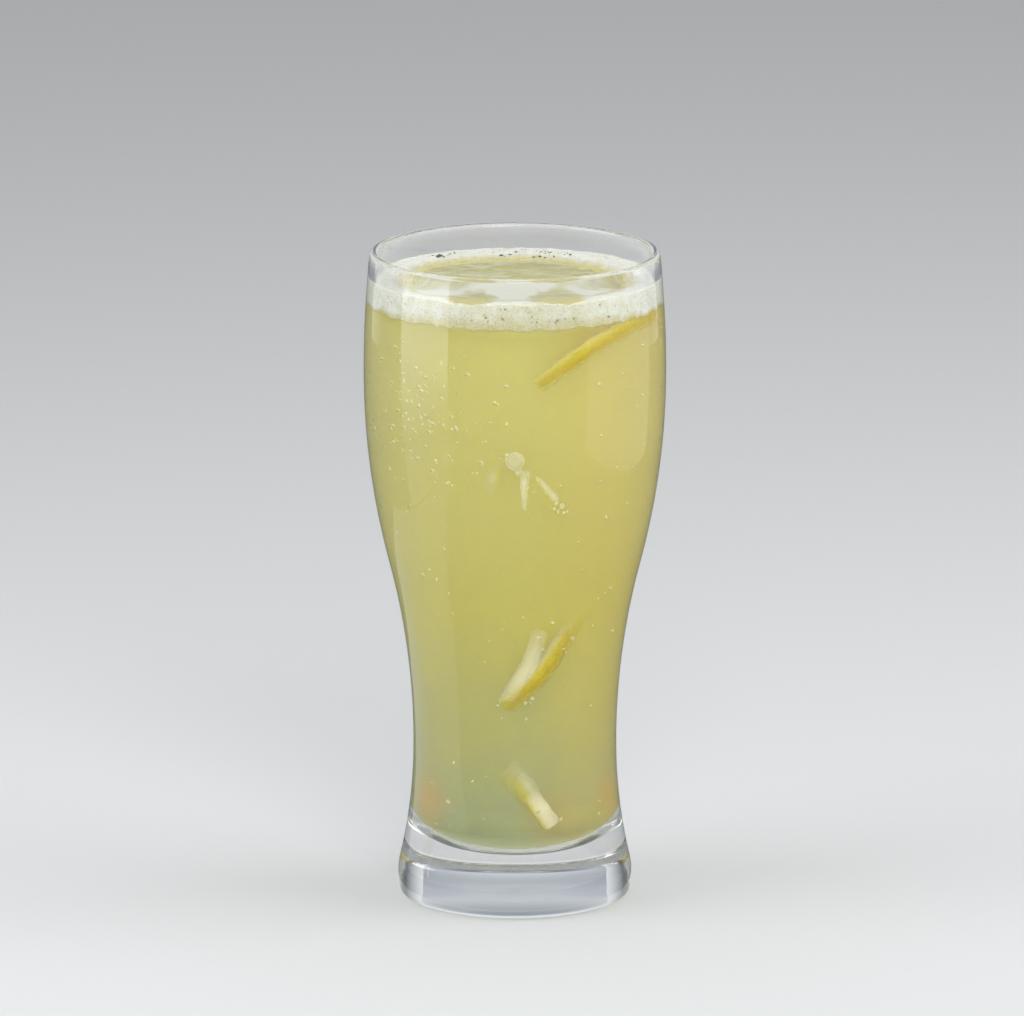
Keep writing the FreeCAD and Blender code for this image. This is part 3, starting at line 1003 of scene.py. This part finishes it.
def lemonPeel():
    # cut lemon zest: waxy yellow rind with oil pores, and soft cream pith behind it
    material, tree = newMaterial("lemonPeel")
    place = addNode(tree, "ShaderNodeTexCoord").outputs["Object"]
    rind = addNode(tree, "ShaderNodeAttribute", attribute_name="rind").outputs["Fac"]
    veil = addNode(tree, "ShaderNodeAttribute", attribute_name="veil").outputs["Fac"]
    clear = addNode(tree, "ShaderNodeMapRange", {"Value": veil, "To Min": 1.0, "To Max": 0.0})
    flesh = addNode(tree, "ShaderNodeTexNoise", {"Vector": place, "Scale": 1 / (0.9 * mm), "Detail": 4})
    uneven = addNode(
        tree, "ShaderNodeMapRange", {"Value": flesh.outputs["Fac"], "To Min": -0.18, "To Max": 0.18}
    )
    rind = addNode(tree, "ShaderNodeMath", {0: rind, 1: uneven}, operation="ADD")
    skin = addRamp(tree, rind, [(0.38, "#eee8bd"), (0.52, "#e4d877"), (0.72, "#d6c42a"), (1.0, "#c4ac14")])
    pores = addNode(
        tree, "ShaderNodeTexVoronoi", {"Vector": place, "Scale": 1 / (0.8 * mm)}
    ).outputs["Distance"]
    pit = addNode(
        tree, "ShaderNodeMapRange",
        {"Value": pores, "From Min": 0.1, "From Max": 0.45, "To Min": 0.72, "To Max": 1.0}
    )
    strength = addNode(tree, "ShaderNodeMapRange", {"Value": rind, "From Min": 0.5, "From Max": 0.8})
    dark = addNode(tree, "ShaderNodeMix", {"Factor": strength, "A": 1.0, "B": pit}, data_type="FLOAT")
    pitted = addNode(
        tree, "ShaderNodeMix",
        {"Factor": 1.0, "A": skin, "B": dark.outputs["Result"]}, data_type="RGBA", blend_type="MULTIPLY"
    )
    bump = addNode(tree, "ShaderNodeBump", {"Height": pit, "Strength": 0.5, "Distance": 0.2 * mm})
    body = addNode(
        tree,
        "ShaderNodeBsdfPrincipled",
        {
            "Base Color": pitted.outputs["Result"],
            "Alpha": clear,
            "Roughness": 0.5,
            "Specular IOR Level": 0.1,
            "Subsurface Weight": 0.3,
            "Subsurface Radius": (1.0, 0.9, 0.45),
            "Subsurface Scale": 1.2 * mm,
            "Normal": bump,
        },
    )
    addNode(tree, "ShaderNodeOutputMaterial", {"Surface": body})
    return material


def behindWall(turn, height, depth):
    # a place in the glass: turn from the front in degrees, height, and depth behind the wall
    radius = hollowRadius(height) - depth
    angle = math.radians(turn)
    return Vector((radius * math.sin(angle), -radius * math.cos(angle), height))


def smoothRoute(points, step):
    # points along a smooth curve through a few given ones
    points = [Vector(p) for p in points]
    ends = [points[0] * 2 - points[1], *points, points[-1] * 2 - points[-2]]
    route = []
    for a, b, c, d in zip(ends, ends[1:], ends[2:], ends[3:]):
        count = max(1, math.ceil((c - b).length / step))
        for t in (i / count for i in range(count)):
            bend = (2 * a - 5 * b + 4 * c - d) * t**2 + (3 * b - a - 3 * c + d) * t**3
            route.append(0.5 * (2 * b + (c - a) * t + bend))
    return [*route, points[-1]]


def makePeel(name, strip, finish):
    places = [behindWall(turn, height * mm, depth * mm) for turn, height, depth in strip["route"]]
    route = smoothRoute(places, peel["step"])
    count = len(route)
    vertices, rinds, veils = [], [], []
    around = peel["aroundSection"]
    first, last = strip["fade"]
    for i, centre in enumerate(route[1:-1], 1):
        share = i / (count - 1)
        along = (route[i + 1] - route[i - 1]).normalized()
        outward = Vector((centre.x, centre.y, 0)).normalized()
        across = outward.cross(along).normalized()
        outward = along.cross(across)
        end = min(i, count - 1 - i) * peel["step"] / peel["endRounding"]
        full = math.sqrt(max(0.0, 1 - max(0.0, 1 - end) ** 4))
        wobble = 1 + 0.12 * noise.noise(centre / (3 * mm))
        narrow, wide = strip["widths"]
        half = (narrow + share * (wide - narrow)) * mm / 2 * full * wobble
        deep = strip["thickness"] * mm / 2 * full
        for j in range(around):
            turn = math.tau * j / around
            a = math.copysign(abs(math.cos(turn)) ** 0.6, math.cos(turn))
            b = math.copysign(abs(math.sin(turn)) ** 0.6, math.sin(turn))
            rough = 1 + 0.06 * noise.noise((centre + across * a * 0.002) / (0.7 * mm))
            vertices.append(centre + across * a * half * rough + outward * b * deep * rough)
            rinds.append(0.5 + 0.5 * (a * strip["rindSide"] + 2 * strip["rindShare"] - 1))
            ends = max(first * max(0, 1 - share * 3), last * max(0, share * 2 - 1))
            side = strip["softness"] * min(1, max(0, (abs(a) - 0.25) / 0.75)) ** 1.3
            veils.append(1 - (1 - ends) * (1 - side) * (1 - strip["veil"]))
    faces = []
    for i in range(count - 3):
        here, beyond = i * around, (i + 1) * around
        for j in range(around):
            after = (j + 1) % around
            faces.append((here + j, here + after, beyond + after, beyond + j))
    for row, end, fade, backwards in ((0, route[0], first, True), (count - 3, route[-1], last, False)):
        middle = len(vertices)
        vertices.append(end)
        rinds.append(strip["rindShare"])
        veils.append(0.5 + 0.5 * fade)
        ring = [(row * around + j, row * around + (j + 1) % around, middle) for j in range(around)]
        faces += [face[::-1] for face in ring] if backwards else ring
    piece = newPiece(name, vertices, faces, finish)
    piece.visible_shadow = False
    for layer, values in (("rind", rinds), ("veil", veils)):
        piece.data.attributes.new(layer, "FLOAT", "POINT").data.foreach_set("value", values)
    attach(piece, "root")


def makePeels():
    finish = lemonPeel()
    for name, strip in peel["strips"].items():
        makePeel(name, strip, finish)


makePeels()
print("peels made")

# Bubbles: fine ones cling to the inside of the wall, thickest at the upper left.
bubbles = {
    "depth": 0.25,  # mm behind the wall
    "low": 20.0,  # they begin and end at these heights, in mm
    "high": 150.0,
    "rowHeight": 2.0,
    "sparse": 2.6,  # in each square centimetre
    "crowded": 62.0,
    "crowdTurn": -40.0,  # the crowd's middle: turn from the front in degrees, height in mm
    "crowdHeight": 131.0,
    "crowdWidth": 21.0,  # its reach to a side and up, in mm
    "crowdTall": 19.0,
    "patchesPerMetre": 110.0,
    "smallest": 0.1,  # radius in mm
    "largest": 0.58,
    "seed": 7,
}


def paleLitBubbleFilm():
    # air bubbles under a film of juice: painted pale for the light they catch, a painted highlight; wet and
    # bright at the rim
    looks = {"Alpha": 0.7, "Roughness": 0.12, "IOR": 1.34, "Coat Weight": 0.6, "Coat Roughness": 0.03}
    return plainFinish("paleLitBubbleFilm", "#e8e2ab", looks)


def buildBubbleTree():
    tree, given = newNodeGroup(
        "bubblesOnSurface",
        {
            "Sparse": "Float",
            "Crowded": "Float",
            "Crowd centre": "Vector",
            "Crowd reach": "Vector",
            "Smallest": "Float",
            "Largest": "Float",
            "Seed": "Int",
            "Finish": "Material",
        },
    )
    place = addNode(tree, "GeometryNodeInputPosition")
    away = addNode(tree, "ShaderNodeVectorMath", {0: place, 1: given["Crowd centre"]}, operation="SUBTRACT")
    scaled = addNode(tree, "ShaderNodeVectorMath", {0: away, 1: given["Crowd reach"]}, operation="DIVIDE")
    distance = addNode(tree, "ShaderNodeVectorMath", {0: scaled}, operation="LENGTH").outputs["Value"]
    uneven = addNode(
        tree, "ShaderNodeTexNoise", {"Vector": place, "Scale": bubbles["patchesPerMetre"], "Detail": 1.0}
    ).outputs["Fac"]
    crowd = addNode(tree, "ShaderNodeMapRange", {"Value": distance, "From Min": 1.25, "From Max": 0.25})
    patchy = addNode(tree, "ShaderNodeMapRange", {"Value": uneven, "From Min": 0.42, "From Max": 0.62})
    crowd = addNode(tree, "ShaderNodeMath", {0: crowd, 1: patchy}, operation="MULTIPLY")
    crowd = addNode(tree, "ShaderNodeMath", {0: crowd, 1: given["Crowded"]}, operation="MULTIPLY")
    density = addNode(tree, "ShaderNodeMath", {0: crowd, 1: given["Sparse"]}, operation="ADD")
    scatter = addNode(
        tree, "GeometryNodeDistributePointsOnFaces",
        {"Mesh": given["Geometry"], "Density": density, "Seed": given["Seed"]}
    )
    chance = addNode(tree, "FunctionNodeRandomValue", {"Seed": given["Seed"]}, data_type="FLOAT").outputs[1]
    rare = addNode(tree, "ShaderNodeMath", {0: chance, 1: 2.5}, operation="POWER")
    radius = addNode(
        tree, "ShaderNodeMapRange",
        {"Value": rare, "To Min": given["Smallest"], "To Max": given["Largest"]}
    )
    ball = addNode(
        tree, "GeometryNodeMeshUVSphere", {"Segments": 8, "Rings": 5, "Radius": 1.0}
    ).outputs["Mesh"]
    shape = addNode(
        tree, "FunctionNodeRandomValue",
        {"Min": (0.55, 0.55, 0.8), "Max": (1.0, 1.0, 1.6), "Seed": given["Seed"]}, data_type="FLOAT_VECTOR"
    )
    scale = addNode(tree, "ShaderNodeVectorMath", {0: shape, "Scale": radius}, operation="SCALE")
    turn = addNode(
        tree, "FunctionNodeRandomValue",
        {"Min": (0, 0, 0), "Max": (math.tau,) * 3, "Seed": given["Seed"]}, data_type="FLOAT_VECTOR"
    )
    placed = addNode(
        tree, "GeometryNodeInstanceOnPoints",
        {"Points": scatter.outputs["Points"], "Instance": ball, "Rotation": turn, "Scale": scale}
    )
    real = addNode(tree, "GeometryNodeRealizeInstances", {"Geometry": placed})
    smooth = addNode(tree, "GeometryNodeSetShadeSmooth", {"Geometry": real, "Shade Smooth": True})
    done = addNode(tree, "GeometryNodeSetMaterial", {"Geometry": smooth, "Material": given["Finish"]})
    addNode(tree, "NodeGroupOutput", {"Geometry": done})
    return tree


bubbleTree = buildBubbleTree()


def scatterBubbles(name, section, finish, values):
    # scatters bubbles over a turned surface, which the nodes leave out of their result
    carrier = turnSection(name, section, finish)
    modifier = carrier.modifiers.new("bubbles", "NODES")
    modifier.node_group = bubbleTree
    setInputs(modifier, {"Finish": finish, **values})
    makePlain(carrier)
    print(name + ":", len(carrier.data.polygons), "faces")
    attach(carrier, "root")


def makeWallBubbles():
    heights = np.arange(bubbles["low"], bubbles["high"], bubbles["rowHeight"]) * mm
    wall = [(hollowRadius(z) - bubbles["depth"] * mm, z) for z in heights]
    across = bubbles["crowdWidth"]
    values = {
        "Sparse": bubbles["sparse"] * perSquareCm,
        "Crowded": bubbles["crowded"] * perSquareCm,
        "Crowd centre": behindWall(bubbles["crowdTurn"], bubbles["crowdHeight"] * mm, 0),
        "Crowd reach": Vector((across, across, bubbles["crowdTall"])) * mm,
        "Smallest": bubbles["smallest"] * mm,
        "Largest": bubbles["largest"] * mm,
        "Seed": bubbles["seed"],
    }
    scatterBubbles("wallBubbles", wall, paleLitBubbleFilm(), values)


def makeFrothCells():
    # burst bubbles in the froth at the back: wet, dark balls whose colour is painted shade for their holes
    wet = {"Roughness": 0.2, "IOR": 1.34}
    top = []
    for share in (0.72, 0.6, 0.48, 0.36, 0.24, 0.12):
        radius = hollowRadius(frothHigh) - share * 10 * mm
        top.append((radius, frothHigh - 0.3 * mm - froth["edgeDip"] * share**1.4))
    values = {
        "Sparse": 0.0,
        "Crowded": froth["burstCrowd"] * perSquareCm,
        "Crowd centre": Vector((0, hollowRadius(frothHigh) - 5.5 * mm, frothHigh)),
        "Crowd reach": Vector((30, 9, 4)) * mm,
        "Smallest": 0.16 * mm,
        "Largest": 0.6 * mm,
        "Seed": 3,
    }
    scatterBubbles("burstCells", top, plainFinish("openFrothCellShade", "#5b5d50", wet), values)

    # and shallow ones in its face on the glass, darker than the froth: painted shade in their hollows
    heights = np.linspace(frothLow + 1.0 * mm, frothHigh - 0.8 * mm, 6)
    face = [(hollowRadius(z) + 0.12 * mm, z) for z in heights]
    values = {
        "Sparse": froth["darkSparse"] * perSquareCm,
        "Crowded": froth["darkCrowd"] * perSquareCm,
        "Crowd centre": behindWall(-12, (frothLow + frothHigh) / 2 - 0.6 * mm, 0),
        "Crowd reach": Vector((22, 14, 3)) * mm,
        "Smallest": 0.12 * mm,
        "Largest": 0.42 * mm,
        "Seed": 12,
    }
    shallow = plainFinish("shallowFrothCellShade", "#a9a78c", wet)
    scatterBubbles("darkFrothCells", face, shallow, values)


# Single bubbles: the big one and those that cling to the pulp and the peel.
singleBubbles = {
    # turn from the front in degrees, height, depth behind the wall, radius, in millimetres
    "bigBubble": [(0.0, 119.7, 2.75, 2.35), (1.6, 116.9, 2.0, 1.0), (-3.3, 121.6, 1.2, 0.45)],
    "pulpBubbles": [
        (18.2, 108.6, 1.7, 0.62), (20.6, 107.8, 1.6, 0.75), (19.0, 106.4, 1.5, 0.55),
        (21.8, 106.0, 1.7, 0.5), (16.9, 107.2, 1.4, 0.4), (5.2, 113.0, 1.4, 0.4),
    ],
    "peelBubbles": [
        (13.5, 72.6, 0.7, 0.55), (33.5, 71.6, 0.8, 0.6), (6.4, 55.2, 0.6, 0.5), (10.6, 56.4, 0.6, 0.55),
        (30.0, 68.0, 0.6, 0.35), (-8.0, 51.2, 0.5, 0.3), (-44.8, 27.6, 0.6, 0.6),
    ],
}


def clearBubble():
    # air in juice: its rim is painted pale for the light it turns back, and its middle is clear
    material, tree = newMaterial("clearAirBubble")
    edge = addNode(tree, "ShaderNodeLayerWeight", {"Blend": 0.35}).outputs["Facing"]
    # more solid and pale towards the rim: painted highlight
    cover = addNode(
        tree, "ShaderNodeMapRange",
        {"Value": edge, "From Min": 0.1, "From Max": 0.9, "To Min": 0.3, "To Max": 0.75}
    )
    body = addNode(
        tree, "ShaderNodeBsdfPrincipled",
        {"Base Color": linearColor("#efe9bc"), "Roughness": 0.08, "IOR": 1.4, "Alpha": cover}
    )
    addNode(tree, "ShaderNodeOutputMaterial", {"Surface": body})
    return material


def makeSingleBubbles():
    finish = clearBubble()
    for name, group in singleBubbles.items():
        vertices, faces = [], []
        columns, rows = (28, 14) if name == "bigBubble" else (12, 6)
        for turn, height, depth, radius in group:
            start = len(vertices)
            centre = behindWall(turn, height * mm, depth * mm)
            for row in range(rows + 1):
                polar = math.pi * row / rows
                for column in range(columns if 0 < row < rows else 1):
                    angle = math.tau * column / columns
                    flat = math.sin(polar)
                    spot = Vector((flat * math.cos(angle), flat * math.sin(angle), -math.cos(polar)))
                    vertices.append(centre + spot * radius * mm)
            rings = [start + 1 + row * columns for row in range(rows - 1)]
            top = rings[-1] + columns
            for column in range(columns):
                after = (column + 1) % columns
                faces.append((start, rings[0] + after, rings[0] + column))
                faces.append((top, rings[-1] + column, rings[-1] + after))
                for ring, above in zip(rings, rings[1:]):
                    faces.append((ring + column, ring + after, above + after, above + column))
        piece = newPiece(name, vertices, faces, finish)
        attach(piece, "root")


makeWallBubbles()
makeFrothCells()
makeSingleBubbles()
print("bubbles made")
